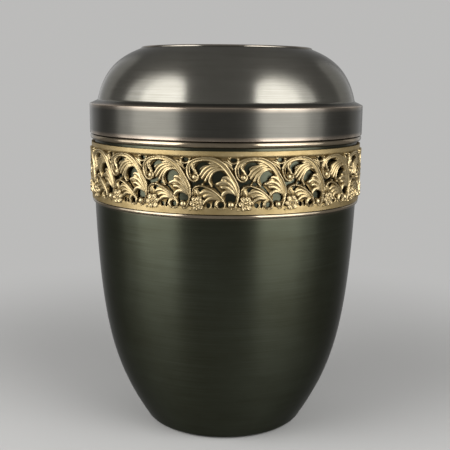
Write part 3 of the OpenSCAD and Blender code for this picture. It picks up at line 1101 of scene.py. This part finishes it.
# %% Floor
FLOOR_SIZE = 6.0
FLOOR_COLOUR = (0.31, 0.307, 0.301)
FLOOR_ROUGHNESS = 0.8
FADE_FROM, FADE_TO = 0.18, 0.5
BACKDROP = (0.5, 0.497, 0.49)
floor_mesh = bpy.data.meshes.new("studio_floor")
half = FLOOR_SIZE / 2
floor_corners = [(-half, -half, 0), (half, -half, 0), (half, half, 0), (-half, half, 0)]
floor_mesh.from_pydata(floor_corners, [], [(0, 1, 2, 3)])
floor = bpy.data.objects.new("studio_floor", floor_mesh)
scene.collection.objects.link(floor)


def seen_rays(nodes, links):
    """1 for rays from the camera and those that metal and glass send on."""
    ray = nodes.new("ShaderNodeLightPath")
    camera_ray, glossy_ray = ray.outputs["Is Camera Ray"], ray.outputs["Is Glossy Ray"]
    seen = math_node(nodes, links, "MAXIMUM", camera_ray, glossy_ray)
    return math_node(nodes, links, "MAXIMUM", seen, ray.outputs["Is Transmission Ray"])


floor_paint = bpy.data.materials.new("studio_paint")
floor_paint.use_nodes = True
nodes, links = floor_paint.node_tree.nodes, floor_paint.node_tree.links
paint = nodes["Principled BSDF"]
paint.inputs["Base Color"].default_value = (*FLOOR_COLOUR, 1)
paint.inputs["Roughness"].default_value = FLOOR_ROUGHNESS
far_wall = nodes.new("ShaderNodeEmission")
far_wall.inputs["Color"].default_value = (*BACKDROP, 1)
where = nodes.new("ShaderNodeTexCoord")
reach = nodes.new("ShaderNodeVectorMath")
reach.operation = "LENGTH"
links.new(where.outputs["Object"], reach.inputs[0])
fade = nodes.new("ShaderNodeMapRange")
fade.interpolation_type = "SMOOTHSTEP"
fade.inputs["From Min"].default_value = FADE_FROM
fade.inputs["From Max"].default_value = FADE_TO
links.new(reach.outputs["Value"], fade.inputs["Value"])
cover = nodes.new("ShaderNodeMixShader")
covered = math_node(nodes, links, "MULTIPLY", fade.outputs[0], seen_rays(nodes, links))
links.new(covered, cover.inputs[0])
links.new(paint.outputs[0], cover.inputs[1])
links.new(far_wall.outputs[0], cover.inputs[2])
links.new(cover.outputs[0], nodes["Material Output"].inputs["Surface"])
floor.data.materials.append(floor_paint)

# %% World
WORLD_FILL = 0.25
world = bpy.data.worlds.new("studio")
scene.world = world
world.use_nodes = True
nodes, links = world.node_tree.nodes, world.node_tree.links
nodes.clear()
fill, wall = nodes.new("ShaderNodeBackground"), nodes.new("ShaderNodeBackground")
fill.inputs["Color"].default_value = (1, 1, 1, 1)
fill.inputs["Strength"].default_value = WORLD_FILL
wall.inputs["Color"].default_value = (*BACKDROP, 1)
wall.inputs["Strength"].default_value = 1.0
either, out = nodes.new("ShaderNodeMixShader"), nodes.new("ShaderNodeOutputWorld")
links.new(seen_rays(nodes, links), either.inputs[0])
links.new(fill.outputs[0], either.inputs[1])
links.new(wall.outputs[0], either.inputs[2])
links.new(either.outputs[0], out.inputs[0])

# %% Softboxes
def softbox(name, azimuth, distance, middle, width, height, radiance):
    """An upright oval lamp that faces the urn's axis.

    Azimuth is in degrees to the right of the camera, and middle is the height of its centre.
    """
    lamp = bpy.data.lights.new(name, "AREA")
    lamp.shape = "ELLIPSE"
    lamp.size, lamp.size_y = width, height
    lamp.energy = radiance * math.pi * width * height * math.pi / 4
    thing = bpy.data.objects.new(name, lamp)
    a = math.radians(azimuth - 90)
    thing.location = (distance * math.cos(a), distance * math.sin(a), middle)
    facing = Vector((0, 0, middle)) - thing.location
    thing.rotation_euler = facing.to_track_quat("-Z", "Y").to_euler()
    thing.visible_camera = False
    scene.collection.objects.link(thing)
    print(name, "at", azimuth, "degrees,", round(lamp.energy, 2), "W")


SIDE = dict(distance=0.8, middle=0.42)
BACK = dict(distance=1.2, middle=0.5, width=0.8, height=1.2, radiance=0.8)
softbox("left_softbox", -65, width=0.92, height=1.5, radiance=3.4, **SIDE)
softbox("left_softbox_core", -56, width=0.62, height=1.4, radiance=4.8, **SIDE)
softbox("right_softbox", 53, width=0.88, height=1.5, radiance=3.4, **SIDE)
softbox("right_softbox_core", 45, width=0.62, height=1.4, radiance=4.8, **SIDE)
softbox("back_left_fill", -140, **BACK)
softbox("back_right_fill", 135, **BACK)

# %% [markdown]
# ## Camera
# One camera looks at the urn's front from a little under the height of its lid, tipped down by
# ten degrees. It stands near, so that the foot and the lid curve as they do to the eye.

# %% Camera
CAMERA_BACK = 0.5781
CAMERA_HEIGHT = 0.2408
CAMERA_PITCH = 10.1
CAMERA_ROLL = 0.55
FOCAL_LENGTH = 65.6
SENSOR_WIDTH = 36
lens = bpy.data.cameras.new("camera")
lens.lens = FOCAL_LENGTH
lens.sensor_width = SENSOR_WIDTH
lens.clip_start = 0.01
camera = bpy.data.objects.new("camera", lens)
tilt = Matrix.Rotation(math.radians(90 - CAMERA_PITCH), 4, "X")
roll = Matrix.Rotation(math.radians(CAMERA_ROLL), 4, "Z")
place = Matrix.Translation((0, -CAMERA_BACK, CAMERA_HEIGHT))
camera.matrix_world = place @ tilt @ roll
scene.collection.objects.link(camera)
scene.camera = camera
scene.view_settings.view_transform = "Standard"
print("camera at", [round(c, 4) for c in camera.matrix_world.translation])
